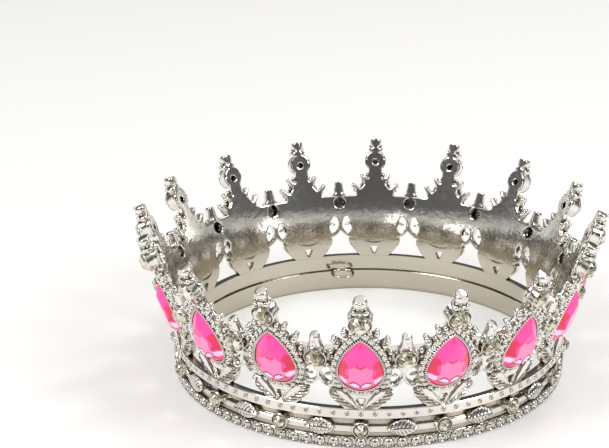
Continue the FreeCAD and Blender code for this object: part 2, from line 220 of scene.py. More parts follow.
def addNode(tree, kind, **values):
    node = tree.nodes.new(kind)
    for key, value in values.items():
        setattr(node, key, value)
    return node


def ranged(tree, share, ends):  # a share from 0 to 1 as a value between two ends
    node = addNode(tree, "ShaderNodeMapRange")
    node.inputs["To Min"].default_value, node.inputs["To Max"].default_value = ends
    tree.links.new(share, node.inputs["Value"])
    return node.outputs["Result"]


silver = {
    "bright": (0.82, 0.797, 0.75, 1),
    # painted shade: the colour of the most shut-in crevices
    "creviceShade": (0.32, 0.29, 0.24, 1),
    "reach": 0.0022,       # how far the painted shade of a crevice spreads, in metres
    "hollow": (0.28, 0.86),  # openness of the darkest and of the brightest spots
    # painted shade: the metal is darker within the radius of the band's channel floor, and plain again from the
    # bar's radius out
    "groove": (0.68, 0.645, 0.575, 1),
    "grooveRadius": (0.069, 0.0701),
    "cloud": 480, "cloudDetail": 4,
    "roughness": (0.07, 0.19),
    "waves": 0.0002, "waveStrength": 0.38,
}


def silverPlating():  # painted shade: darker in crevices and in the band's groove, with small clouds in the gloss
    material, tree, shader = newMaterial("silverPlating")
    link = tree.links.new
    place = addNode(tree, "ShaderNodeTexCoord")
    # painted shade: the base colour darkens where ambient occlusion finds other surfaces close by
    hollow = addNode(tree, "ShaderNodeAmbientOcclusion", samples=8, only_local=False)
    hollow.inputs["Distance"].default_value = silver["reach"]
    tone = addNode(tree, "ShaderNodeValToRGB")
    ends = (silver["creviceShade"], silver["bright"])
    for element, at, colour in zip(tone.color_ramp.elements, silver["hollow"], ends):
        element.position = at
        element.color = colour
    link(hollow.outputs["AO"], tone.inputs["Fac"])
    # painted shade of the band's recessed channel, by distance from the crown's axis
    flat = addNode(tree, "ShaderNodeVectorMath", operation="MULTIPLY")  # leaves out the height
    flat.inputs[1].default_value = (1, 1, 0)
    link(place.outputs["Object"], flat.inputs[0])
    far = addNode(tree, "ShaderNodeVectorMath", operation="LENGTH")
    link(flat.outputs[0], far.inputs[0])
    grooveShade = addNode(tree, "ShaderNodeMapRange")
    grooveShade.inputs["From Min"].default_value, grooveShade.inputs["From Max"].default_value = silver["grooveRadius"]
    link(far.outputs["Value"], grooveShade.inputs["Value"])
    shade = addNode(tree, "ShaderNodeMix", data_type="RGBA")
    shade.inputs["A"].default_value = silver["groove"]
    shade.inputs["B"].default_value = (1, 1, 1, 1)
    link(grooveShade.outputs["Result"], shade.inputs["Factor"])
    # both painted shades multiplied together, as the base colour
    coat = addNode(tree, "ShaderNodeMix", data_type="RGBA", blend_type="MULTIPLY")
    coat.inputs["Factor"].default_value = 1.0
    link(tone.outputs["Color"], coat.inputs["A"])
    link(shade.outputs["Result"], coat.inputs["B"])
    link(coat.outputs["Result"], shader.inputs["Base Color"])
    cloud = addNode(tree, "ShaderNodeTexNoise")
    cloud.inputs["Scale"].default_value = silver["cloud"]
    cloud.inputs["Detail"].default_value = silver["cloudDetail"]
    link(place.outputs["Object"], cloud.inputs["Vector"])
    link(ranged(tree, cloud.outputs["Fac"], silver["roughness"]), shader.inputs["Roughness"])
    bump = addNode(tree, "ShaderNodeBump")
    bump.inputs["Strength"].default_value = silver["waveStrength"]
    bump.inputs["Distance"].default_value = silver["waves"]
    link(cloud.outputs["Fac"], bump.inputs["Height"])
    link(bump.outputs["Normal"], shader.inputs["Normal"])
    shader.inputs["Metallic"].default_value = 1.0
    return material


stoneLook = {
    "cloud": 420, "shade": (0.86, 1.08), "coatRoughness": 0.03,
    # glow is painted light: an emission in the stone's own tint
    "pinkGem": {"metallic": 0.0, "roughness": 0.3, "coat": 0.6, "glow": 0.35},
    "clearStone": {"metallic": 0.7, "roughness": 0.12, "coat": 1.0, "glow": 0.0},
}


def tintedStone(name):  # each facet's tint, partly the stone's own colour and partly painted reflection, clouded a little, under a clear coat
    look = stoneLook[name]
    material, tree, shader = newMaterial(name)
    link = tree.links.new
    tint = addNode(tree, "ShaderNodeAttribute", attribute_name="tint")
    place = addNode(tree, "ShaderNodeTexCoord")
    cloud = addNode(tree, "ShaderNodeTexNoise")
    cloud.inputs["Scale"].default_value = stoneLook["cloud"]
    link(place.outputs["Object"], cloud.inputs["Vector"])
    mix = addNode(tree, "ShaderNodeVectorMath", operation="SCALE")
    link(tint.outputs["Color"], mix.inputs[0])
    link(ranged(tree, cloud.outputs["Fac"], stoneLook["shade"]), mix.inputs["Scale"])
    link(mix.outputs["Vector"], shader.inputs["Base Color"])
    shader.inputs["Metallic"].default_value = look["metallic"]
    shader.inputs["Roughness"].default_value = look["roughness"]
    shader.inputs["Coat Weight"].default_value = look["coat"]
    shader.inputs["Coat Roughness"].default_value = stoneLook["coatRoughness"]
    if look["glow"]:  # painted light: the stone glows in its own tint, standing in for light that has passed through it
        link(mix.outputs["Vector"], shader.inputs["Emission Color"])
        shader.inputs["Emission Strength"].default_value = look["glow"]
    return material


plating = silverPlating()
pinkGem = tintedStone("pinkGem")
clearStone = tintedStone("clearStone")
print("materials ready")


# The band: a closed section carried round the crown.
band = {
    "floor": 69.0, "bar": 70.2, "lip": 67.2, "inside": 68.0,
    "footCore": 70.15, "topCore": 70.7,
    "around": 384,
}


def bandRing():  # from the foot up the outside, over the top and down the inside
    lip, inside, floor, bar = band["lip"], band["inside"], band["floor"], band["bar"]
    foot, top = band["footCore"], band["topCore"]
    section = np.array([
        (lip + 0.2, 0), (foot - 0.2, 0), (foot, 0.15), (foot, 3.35), (foot - 0.25, 3.6), (floor + 0.1, 3.62),
        (floor, 3.75), (floor, 5.4), (floor + 0.1, 5.5), (bar - 0.25, 5.52), (bar, 5.75), (bar + 0.05, 6.65),
        (bar, 7.5), (bar - 0.25, 7.75), (floor + 0.1, 7.8), (floor, 7.9), (floor, 10.4), (floor + 0.12, 10.55),
        (top - 0.3, 10.58), (top, 10.85), (top + 0.08, 12.4), (top, 13.85), (top - 0.3, 14.18),
        (inside + 0.25, 14.2), (inside, 14.0), (inside, 8.45), (inside + 0.12, 8.3), (inside + 0.12, 8.05),
        (inside, 8.0), (lip + 0.12, 8.0), (lip, 7.85), (lip, 0.2)])
    angle = np.linspace(0, 2 * np.pi, band["around"], endpoint=False)[:, None]
    return closedRound(np.stack([section[:, 0] * np.cos(angle), section[:, 0] * np.sin(angle),
                                 section[:, 1] + 0 * angle], -1))


def outward(angles, radius, height):  # places on an upright cylinder: along it, up, out
    c, s, zero = np.cos(angles), np.sin(angles), 0 * angles
    return np.stack([np.stack([c, s, zero], -1), np.stack([zero, zero, zero + 1], -1),
                     np.stack([s, -c, zero], -1), np.stack([s * radius, -c * radius, zero + height], -1)], 1)


def dome(radius, height, around, rows, foot):  # a bead: a quarter ellipse on a short foot, turned
    t = np.linspace(0, np.pi / 2, rows)
    profile = np.column_stack([radius * np.cos(t), height * np.sin(t)])
    return lathe(np.vstack([[[0, -foot], [radius, -foot]], profile]), around)


railBead = {
    "perSegment": 6,
    "ring": [(0, -0.3), (1.75, -0.3), (1.84, 0.1), (1.72, 0.6), (1.42, 0.88), (1.12, 0.7), (0.95, 0.46),
             (0.78, 0.5), (0.5, 0.76), (0, 0.88)],
    "ringHeight": 1.85, "ringAround": 18,
    "grain": (0.52, 0.78, 9, 4, 0.3), "grainHeights": (0.55, 3.05),
    "eye": [(0.95, -0.3), (0.95, 0.05), (0.8, 0.42), (0.6, 0.48), (0.42, 0.2), (0.3, 0.16), (0.2, 0.42),
            (0, 0.52)],
    "eyeHeight": 12.5, "eyeAround": 12,
}


def railBeads():  # ringed beads and grains round the foot rail, small eyes round the top rail
    total = count * railBead["perSegment"]
    angles = np.arange(total) * 2 * np.pi / total
    gaps = angles + np.pi / total
    ring = lathe(railBead["ring"], railBead["ringAround"])
    grain = dome(*railBead["grain"])
    eye = lathe(railBead["eye"], railBead["eyeAround"])
    parts = [scattered(ring, outward(angles, band["footCore"], railBead["ringHeight"]))]
    parts += [scattered(grain, outward(gaps, band["footCore"], height)) for height in railBead["grainHeights"]]
    parts.append(scattered(eye, outward(angles, band["topCore"], railBead["eyeHeight"])))
    return merged(parts)


# Leaves: u from stem to tip, v across, with a midrib and slanted grooves.
leafForm = {
    "rows": 40, "cols": 19,
    "rim": 2.6,            # power of the edge's roundness
    "slant": 1.5,          # how far the grooves lean towards the tip
    "ribWidth": 0.1, "ribHeight": 0.2,
    "sideRib": -0.22,      # the midrib's place on a leaf that is grooved on one half only
}


def leafSheet(leaf, onlyOuter):  # height: lift with a rounded edge, plus the midrib, less the grooves
    rows = leafForm["rows"]
    u = np.linspace(0, 1, rows)[:, None]
    v = np.linspace(-1, 1, leafForm["cols"])[None, :]
    along = smoothLine(leaf["line"], rows)
    step = np.gradient(along, axis=0)
    step /= np.linalg.norm(step, axis=1, keepdims=True)
    side = np.column_stack([-step[:, 1], step[:, 0]])
    width = np.interp(u[:, 0], *np.array(leaf["spread"]).T)
    flat = along[:, None] + side[:, None] * (width[:, None] * v)[..., None]
    rim = np.sqrt(np.clip(1 - np.abs(v) ** leafForm["rim"], 0, 1))
    plump = np.clip(width / width.max(), 0, 1)[:, None] ** 0.5
    rib = leafForm["sideRib"] if onlyOuter else 0.0
    slant = u * leaf["veins"] - np.abs(v - rib) * leafForm["slant"]
    groove = 0.5 + 0.5 * np.cos(2 * np.pi * slant)
    where = np.clip((np.abs(v - rib) - 0.1) * 5, 0, 1) * np.clip((0.97 - np.abs(v)) * 6, 0, 1)
    where = where * np.clip(u * 9, 0, 1) * np.clip((1 - u) * 9, 0, 1)  # the grooves fade out at both ends
    if onlyOuter:
        where = where * (v > rib)
    midrib = leafForm["ribHeight"] * np.exp(-((v - rib) / leafForm["ribWidth"]) ** 2)
    raised = leaf["lift"] * (0.25 + 0.75 * rim) * (0.4 + 0.6 * plump)
    return flat[..., 0], flat[..., 1], raised + midrib - leaf["depth"] * groove ** 2 * where * plump


def closedSheet(top, bottom):  # an upper and a lower grid, joined round their edge
    rows, cols = top.shape[:2]
    faces = gridFaces(rows, cols)
    under = faces[:, ::-1] + rows * cols
    loop = np.concatenate([np.arange(cols), np.arange(1, rows) * cols + cols - 1,
                           (rows - 1) * cols + np.arange(cols - 2, -1, -1), np.arange(rows - 2, 0, -1) * cols])
    after = np.roll(loop, -1)
    wall = np.stack([after, loop, loop + rows * cols, after + rows * cols], -1)
    return np.vstack([top.reshape(-1, 3), bottom.reshape(-1, 3)]), [faces, under, wall]


bandLeaf = {
    "line": [(-5.3, -0.15), (-1.8, 0.1), (1.8, 0.1), (5.3, -0.15)],
    "spread": [(0, 0.05), (0.08, 1.15), (0.25, 2.35), (0.45, 3.0), (0.6, 2.95), (0.8, 2.1), (0.93, 1.0),
               (1, 0.05)],
    "veins": 8, "lift": 1.25, "depth": 0.55,
    "middle": 7.1, "proud": 0.15, "sunk": 0.4,
}


def bandLeaves():  # leaves that lie on the bar, each with its underside sunk in the band
    x, y, height = leafSheet(bandLeaf, False)
    top = onBand(np.stack([x, y, band["bar"] + bandLeaf["proud"] + height], -1), bandLeaf["middle"])
    bottom = onBand(np.stack([x, y, band["floor"] - bandLeaf["sunk"] + 0 * height], -1), bandLeaf["middle"])
    return repeated(closedSheet(top, bottom), betweenTurns)


stemLeaf = {
    "line": [(0.75, 0.15), (3.2, 1.9), (6.0, 4.3), (8.2, 6.6), (9.0, 8.2)],
    "spread": [(0, 0.1), (0.1, 0.85), (0.3, 1.95), (0.5, 2.6), (0.7, 2.5), (0.87, 1.55), (0.96, 0.7),
               (1, 0.05)],
    "veins": 7, "lift": 1.3, "depth": 0.95,
    "stand": 2.3, "foot": 1.2,
}


def stemLeaves():  # a pair on each segment, grooved on the halves away from its middle
    parts = []
    x, climb, height = leafSheet(stemLeaf, True)
    for side in (-1, 1):
        across, along = side * x[:, ::-1], climb[:, ::-1]
        parts.append(closedSheet(onWall(across, along, stemLeaf["stand"] + height),
                                 onWall(across, along, stemLeaf["foot"] + 0 * height)))
    return repeated(merged(parts), segmentTurns)


# The pear outline is shared by gem, cup and halo.
pear = {
    "width": 14.4, "round": 8.8, "point": 12.8,
    "hip": (0.73, 0.7), "shoulder": (0.359, 0.516),  # shares of the widths and heights
    "pointGrowth": 1.44, "shoulderGrowth": (0.82, 0.57),  # how a grown outline moves there
    "climb": climbOf(16.9), "tilt": np.radians(19.0),
    "girdle": 3.3,         # height of the gem's flat back over the wall's inner face
}


def arcThrough(a, via, b, steps=60):  # the circle through three points, from a to b
    a, via, b = (np.array(p, float) for p in (a, via, b))
    rows = 2 * np.array([via - a, b - a])
    centre = np.linalg.solve(rows, np.array([via @ via - a @ a, b @ b - a @ a]))
    ends = [np.arctan2(*(p - centre)[::-1]) for p in (a, via, b)]
    whole = (ends[2] - ends[0]) % (2 * np.pi)
    if (ends[1] - ends[0]) % (2 * np.pi) > whole:
        whole -= 2 * np.pi
    t = ends[0] + np.linspace(0, whole, steps)
    return centre + np.linalg.norm(a - centre) * np.column_stack([np.cos(t), np.sin(t)])


def pearLine(grow, steps=72):  # two arcs and their mirror image, in even steps from the foot towards +x
    wide, low = pear["width"] / 2 + grow, -pear["round"] - grow
    high = pear["point"] + grow * pear["pointGrowth"]
    hip = (wide * pear["hip"][0], low * pear["hip"][1])
    shoulder = (pear["width"] * pear["shoulder"][0] + grow * pear["shoulderGrowth"][0],
                pear["point"] * pear["shoulder"][1] + grow * pear["shoulderGrowth"][1])
    right = np.vstack([arcThrough((0, low), hip, (wide, 0))[:-1], arcThrough((wide, 0), shoulder, (0, high))])
    line = np.vstack([right, (right * [-1, 1])[::-1][1:]])
    far = np.concatenate([[0], np.cumsum(np.linalg.norm(np.diff(line, axis=0), axis=1))])
    at = np.linspace(0, far[-1], steps, endpoint=False)
    return np.column_stack([np.interp(at, far, line[:, 0]), np.interp(at, far, line[:, 1])])


def gemPlane(points):  # the plane that the gems lie in
    return onPlane(points, pear["climb"], pear["tilt"])


def pearTube(profile, steps=72):  # offset and height rows, carried round the pear outline
    rings = [np.column_stack([pearLine(grow, steps), np.full(steps, height)]) for grow, height in profile]
    points = gemPlane(np.array(rings))
    return points.reshape(-1, 3), [gridFaces(len(profile), steps, True)]


gemCup = [(0.62, 1.3), (0.62, 3.5), (0.58, 3.95), (0.48, 4.22), (0.34, 4.3), (0.2, 4.22), (0.12, 4.0),
          (0.1, 3.4), (-0.3, 3.25)]


def gemCups():  # a thin rim with a rounded top
    return repeated(pearTube(gemCup), segmentTurns)


def planePlaces(line, height):  # places in the gem's plane, with their axes
    origin = gemPlane(np.column_stack([line, np.full(len(line), height)]))
    axes = gemPlane(np.eye(3)) - gemPlane(np.zeros(3))
    return np.concatenate([np.repeat(axes[None], len(line), 0), origin[:, None]], 1)


halo = {
    "pegs": 25, "offset": 1.95, "pegRadius": 0.95, "pegTop": 3.55, "pegAround": 10,
    "peg": [(1, -2.0), (1.06, -0.1), (0.98, 0.3), (0.76, 0.5), (0.56, 0.42), (0.44, 0.32), (0.26, 0.46),
            (0, 0.56)],
    "grains": 64, "grainOffset": 0.75, "grainTop": 3.95, "grain": (0.36, 0.34, 7, 3, 0.8),
    "bed": [(0.5, 1.3), (0.55, 3.5), (1.2, 3.65), (2.2, 3.45), (2.7, 2.9), (2.85, 1.3)], "bedSteps": 60,
}


def gemHalo():  # ringed pegs round the gem, a row of grains inside them and a bed under both
    peg = lathe(np.array(halo["peg"]) * [halo["pegRadius"], 1], halo["pegAround"])
    pegs = scattered(peg, planePlaces(pearLine(halo["offset"], halo["pegs"]), halo["pegTop"]))
    inner = pearLine(halo["grainOffset"], halo["grains"])
    grains = scattered(dome(*halo["grain"]), planePlaces(inner, halo["grainTop"]))
    return repeated(merged([pegs, grains, pearTube(halo["bed"], halo["bedSteps"])]), segmentTurns)


# Round cups, lathed on the wall's plane.
cups = {
    "top": {"climb": climbOf(36.9), "radius": 3.5, "height": 4.8, "foot": 0.4, "around": 40},
    "side": {"climb": climbOf(21.4), "radius": 3.3, "height": 4.6, "foot": 0.4, "around": 40},
    "band": {"radius": 2.35, "height": 4.0, "foot": 0.8, "around": 32, "middle": 7.1},
}
cupRim = {"seat": 1.0, "wall": 0.52, "bevel": 0.12, "waist": 0.14}


def lathedCup(cup):  # seat, bevelled rim, waist and foot, as radius and height rows
    radius, height, foot = cup["radius"], cup["height"], cup["foot"]
    rim, seat, bevel = radius + cupRim["wall"], height - cupRim["seat"], cupRim["bevel"]
    waist = rim - cupRim["waist"]
    return lathe([(0, seat), (radius + 0.15, seat), (radius + 0.16, height - 0.2), (radius + 0.24, height),
                  (rim - bevel, height), (rim, height - bevel), (rim, height - 0.55), (waist, height - 0.72),
                  (waist, foot + 0.6), (rim + 0.1, foot)], cup["around"])


def roundCups():
    parts = []
    for name, turns in (("top", segmentTurns), ("side", betweenTurns)):
        points, faces = lathedCup(cups[name])
        parts.append(repeated((onPlane(points, cups[name]["climb"]), faces), turns))
    points, faces = lathedCup(cups["band"])
    points = onBand(points + [0, 0, band["inside"]], cups["band"]["middle"])
    parts.append(repeated((points, faces), segmentTurns))
    return merged(parts)


# Finials: rows of climb, half width and depth. The section is rounded in front and flat behind.
finialForm = {"steps": 44, "around": 26, "power": 0.8}
topFinial = {
    "climb": 44.0,
    "rows": [(41.2, 2.3, 3.7), (41.9, 2.5, 4.0), (42.35, 2.8, 4.4), (43.0, 2.95, 4.6), (43.55, 2.6, 4.4),
             (43.85, 1.8, 3.7), (44.15, 1.5, 3.4), (44.45, 1.7, 3.6), (44.8, 2.15, 4.0), (45.4, 2.36, 4.3),
             (46.1, 2.38, 4.3), (46.7, 2.26, 4.2), (47.15, 1.95, 3.95), (47.38, 1.4, 3.5), (47.45, 0.02, 2.4)],
}
sideFinial = {
    "climb": 27.0,
    "rows": [(24.0, 2.5, 3.8), (24.6, 2.6, 4.1), (25.2, 2.6, 4.2), (25.6, 2.35, 4.0), (25.85, 2.0, 3.6),
             (26.1, 2.0, 3.6), (26.4, 2.2, 3.9), (27.2, 2.05, 3.8), (28.2, 1.88, 3.65), (29.2, 1.78, 3.5),
             (29.85, 1.62, 3.35), (30.3, 1.2, 3.0), (30.48, 0.05, 2.3)],
}


def finialSurface(rows):  # a section between ellipse and lozenge, swelling and narrowing up the slope
    rows = smoothLine(rows, finialForm["steps"])
    climb, wide, deep = rows[:, :1], np.maximum(rows[:, 1:2], 0), np.maximum(rows[:, 2:3], 0)
    t = np.linspace(0, 2 * np.pi, finialForm["around"], endpoint=False)
    cosT, sinT, power = np.cos(t), np.sin(t), finialForm["power"]
    x = wide * np.sign(cosT) * np.abs(cosT) ** power
    front = deep * np.sign(sinT) * np.abs(sinT) ** power / 2
    return x, climb + 0 * x, deep / 2 + front


def finials():
    parts = []
    for shape, turns in ((topFinial, segmentTurns), (sideFinial, betweenTurns)):
        x, slope, stand = finialSurface(shape["rows"])
        points = onPlane(np.stack([x, slope - shape["climb"], stand], -1), shape["climb"])
        parts.append(repeated((points.reshape(-1, 3), [gridFaces(*x.shape, True)]), turns))
    return merged(parts)


def wallPlaces(spots):  # x, climb, stand rows to places with axes that follow the wall
    small = 0.01
    spots = np.asarray(spots, float)
    origin = onWall(spots[:, 0], spots[:, 1], spots[:, 2])
    across = onWall(spots[:, 0] + small, spots[:, 1], spots[:, 2]) - origin
    along = onWall(spots[:, 0], spots[:, 1] + small, spots[:, 2]) - origin
    across /= np.linalg.norm(across, axis=1, keepdims=True)
    along /= np.linalg.norm(along, axis=1, keepdims=True)
    out = np.cross(across, along)
    out *= np.sign(np.einsum("ij,ij->i", out, origin * [1, 1, 0]))[:, None]
    return np.stack([across, along, out, origin], 1)


def mirroredSpots(spots):  # the same spots on both sides of the segment's middle
    spots = np.asarray(spots, float)
    return np.vstack([spots, spots * [-1, 1, 1]])


# Beads: rows of x, climb, stand and radius.
prongLift = 0.35
prongBeads = [(5.2, 32.4, 2.2, 1.0), (4.5, 30.6, 2.2, 1.15), (8.5, 28.8, 2.2, 1.0), (7.5, 27.2, 2.2, 1.15),
              (6.6, 25.4, 2.2, 1.0), (2.9, 33.0, 2.2, 0.95), (1.8, 43.1, 3.4, 1.0), (9.3, 23.9, 2.2, 1.0),
              (8.9, 21.6, 2.2, 0.9), (10.5, 18.2, 2.2, 0.85), (11.3, 24.0, 2.2, 0.8), (12.6, 17.3, 2.2, 0.7),
              (11.5, 16.9, 2.4, 0.6), (5.3, 29.0, 2.0, 0.7), (3.4, 31.4, 2.0, 0.7)]
finialBeads = [(0, 43.05, 4.5, 0.62), (1.25, 43.1, 4.35, 0.58), (2.35, 43.15, 3.7, 0.6), (0, 46.9, 3.95, 0.8),
               (0.55, 45.25, 4.15, 0.45), (1.55, 45.3, 3.9, 0.45),
               (1.7, 44.5, 3.3, 0.5), (2.2, 44.6, 2.2, 0.5), (0.8, 44.3, 3.6, 0.42)]
sideBeads = [(0.62, 25.2, 4.15, 0.5), (1.85, 25.2, 3.7, 0.5), (0.6, 26.9, 3.75, 0.42), (0.01, 28.6, 3.5, 0.5)]
volute = {"size": (1.75, 0.55, 0.9), "slope": -0.26, "middle": (10.1, 13.15, 1.7)}


def ball(radius, around=10, rows=7):  # a half circle, turned
    t = np.linspace(-np.pi / 2, np.pi / 2, rows)
    return lathe(np.column_stack([radius * np.cos(t), radius * np.sin(t)]), around)


def voluteTips():  # a ball stretched and tipped, at the scroll on each side
    points, faces = ball(1.0, 12, 9)
    points = points * volute["size"]
    c, s = np.cos(volute["slope"]), np.sin(volute["slope"])
    x, y = points[:, 0], points[:, 1]
    points = np.column_stack([x * c - y * s, x * s + y * c, points[:, 2]])
    right, left = (wallPlaces([volute["middle"] * np.array([side, 1, 1])]) for side in (1, -1))
    return [scattered((points, faces), right), scattered((points * [-1, 1, 1], faces), left)]


def looseBeads():
    parts = [scattered(ball(radius), wallPlaces(mirroredSpots([(x, climb, stand + prongLift)])))
             for x, climb, stand, radius in prongBeads]
    parts += voluteTips()
    for x, climb, stand, radius in finialBeads:
        spots = [(x, climb, stand)] if x == 0 else mirroredSpots([(x, climb, stand)])
        parts.append(scattered(ball(radius, 9, 6), wallPlaces(spots)))
    between = [scattered(ball(radius, 9, 6), wallPlaces(mirroredSpots([(x, climb, stand)])))
               for x, climb, stand, radius in sideBeads]
    return merged([repeated(merged(parts), segmentTurns), repeated(merged(between), betweenTurns)])


# The openwork wall: signed distance to the outline on a grid, cut at zero, given two faces.
wall = {
    "columns": 68, "rows": 112, "low": -0.9, "high": 43.4,
    "edge": 0.65, "innerEdge": 0.22, "prongEdge": 0.8,  # how round the edges are
    "prongFrom": (3.6, 26),  # x and climb past which the prongs stand
    "depth": 2.4, "gemDepth": 0.4, "scrollDepth": 0.6,
    "gemBed": 2.5, "cupBed": 3.95,
    "fillet": 0.5, "gemFillet": 0.8, "stemFillet": 0.35,
}


def discDistance(x, y, cx, cy, radius):  # to a round disc
    return np.hypot(x - cx, y - cy) - radius


def armDistance(x, y, ax, ay, bx, by, ra, rb):  # a round-ended arm that tapers from a to b
    dx, dy = bx - ax, by - ay
    t = np.clip(((x - ax) * dx + (y - ay) * dy) / (dx * dx + dy * dy), 0, 1)
    return np.hypot(x - ax - t * dx, y - ay - t * dy) - (ra + (rb - ra) * t)


def outlineDistance(x, y, corners):  # to a closed outline, negative inside
    a = np.asarray(corners, float)
    b = np.roll(a, -1, axis=0)
    px, py = x[..., None] - a[:, 0], y[..., None] - a[:, 1]
    dx, dy = b[:, 0] - a[:, 0], b[:, 1] - a[:, 1]
    t = np.clip((px * dx + py * dy) / (dx * dx + dy * dy), 0, 1)
    far = np.hypot(px - t * dx, py - t * dy).min(-1)
    crossing = ((a[:, 1] > y[..., None]) != (b[:, 1] > y[..., None]))
    left = px < dx * py / np.where(dy == 0, 1e-9, dy)
    inside = (crossing & left).sum(-1) % 2 == 1
    return np.where(inside, -far, far)


def blended(a, b, soft):  # the nearer of two, with a fillet where they meet
    h = np.clip(0.5 + 0.5 * (b - a) / soft, 0, 1)
    return b + (a - b) * h - soft * h * (1 - h)


# Half outlines of one segment, as x and climb. They close a little past its middle.
stemHalf = [(0, -2), (6.4, -2), (5.7, 0), (7.0, 1.2), (8.3, 2.9), (9.2, 4.8), (9.65, 6.6), (9.3, 7.9), (8, 9),
            (0, 9), (-3, 9), (-3, -2)]
bodyHalf = [(0, 6.5), (8.0, 7.2), (9.5, 7.7), (11.2, 8.5), (12.5, 9.5), (13.1, 10.3), (13.6, 10.75),
            (20, 10.8), (20, 24.7), (0, 24.7), (-3, 24.7), (-3, 6.5)]
scrollHole = [(10.05, 9.15), (11.5, 10.2), (12.5, 11.8), (12.85, 13.6), (12.5, 15.1), (11.7, 16.1),
              (10.9, 16.4), (10.2, 15.3), (9.3, 14.0), (8.95, 12.6), (9.2, 10.8)]
prongArms = [(3.0, 29.4, 5.1, 32.2, 1.3, 0.7), (5.6, 25.6, 8.4, 28.7, 1.4, 0.7)]
prongTips = [(5.2, 32.46, 0.85), (8.5, 28.9, 0.85)]
spine = (0, 29, 0, 38, 2.6, 2.5)
stemNotch = [(-0.3, 0.75), (0.3, 0.75), (1.45, 3.75), (-1.45, 3.75)]
backHoles = {"drop": 0.4, "top": 1.15, "side": 2.2}


def wallDistance(x, y):  # gem bed, body, stem, prongs and spine together, less the openings
    x = np.abs(x)
    topClimb = cups["top"]["climb"]
    gem = outlineDistance(x, y - pear["climb"], pearLine(wall["gemBed"]))
    body = blended(gem, outlineDistance(x, y, bodyHalf), wall["gemFillet"])
    body = blended(body, outlineDistance(x, y, stemHalf), wall["stemFillet"])
    for arm in prongArms:
        body = blended(body, armDistance(x, y, *arm), wall["fillet"])
    for tip in prongTips:
        body = np.minimum(body, discDistance(x, y, *tip))
    body = blended(body, armDistance(x, y, *spine), wall["fillet"])
    body = blended(body, discDistance(x, y, 0, topClimb, wall["cupBed"]), wall["fillet"])
    scroll = outlineDistance(x, y, smoothLine(scrollHole + scrollHole[:1], 60)[:-1])
    notch = outlineDistance(x, y, stemNotch)
    topHole = discDistance(x, y, 0, topClimb - backHoles["drop"], backHoles["top"])
    edgeX = radiusAt(y) * np.sin(halfTurn)
    sideHole = discDistance(x, y, edgeX, cups["side"]["climb"], backHoles["side"])
    for opening in (scroll, notch, topHole, sideHole):
        body = np.maximum(body, -opening)
    return np.maximum(body, -(y + 0.5))


def wallDepth(x, y):  # thickness before the edges are rounded: less at the gem, more at a scroll
    x = np.abs(x)
    nearGem = np.clip(1 - outlineDistance(x, y - pear["climb"], pearLine(2.6)) / 1.2, 0, 1)
    scroll = np.clip(1 - np.abs(np.hypot((x - 10.9) / 1.0, (y - 12.6) / 1.8) - 2.2) / 1.4, 0, 1)
    return wall["depth"] - wall["gemDepth"] * nearGem + wall["scrollDepth"] * scroll * (1 - nearGem)


# A cell's corners are 0 to 3, the crossings on its sides 4 to 7. The key says which corners are inside.
cellFaces = {
    1: [(0, 4, 7)], 2: [(4, 1, 5)], 3: [(0, 1, 5, 7)], 4: [(5, 2, 6)], 5: [(0, 4, 7), (5, 2, 6)],
    6: [(4, 1, 2, 6)], 7: [(0, 1, 2, 6), (0, 6, 7)], 8: [(7, 6, 3)], 9: [(0, 4, 6, 3)],
    10: [(4, 1, 5), (7, 6, 3)], 11: [(0, 1, 5, 6), (0, 6, 3)], 12: [(7, 5, 2, 3)],
    13: [(0, 4, 5, 2), (0, 2, 3)], 14: [(4, 1, 2, 3), (4, 3, 7)], 15: [(0, 1, 2, 3)]}
cellEdges = {
    1: [(4, 7)], 2: [(5, 4)], 3: [(5, 7)], 4: [(6, 5)], 5: [(4, 7), (6, 5)], 6: [(6, 4)], 7: [(6, 7)],
    8: [(7, 6)], 9: [(4, 6)], 10: [(5, 4), (7, 6)], 11: [(5, 6)], 12: [(7, 5)], 13: [(4, 5)], 14: [(7, 4)]}


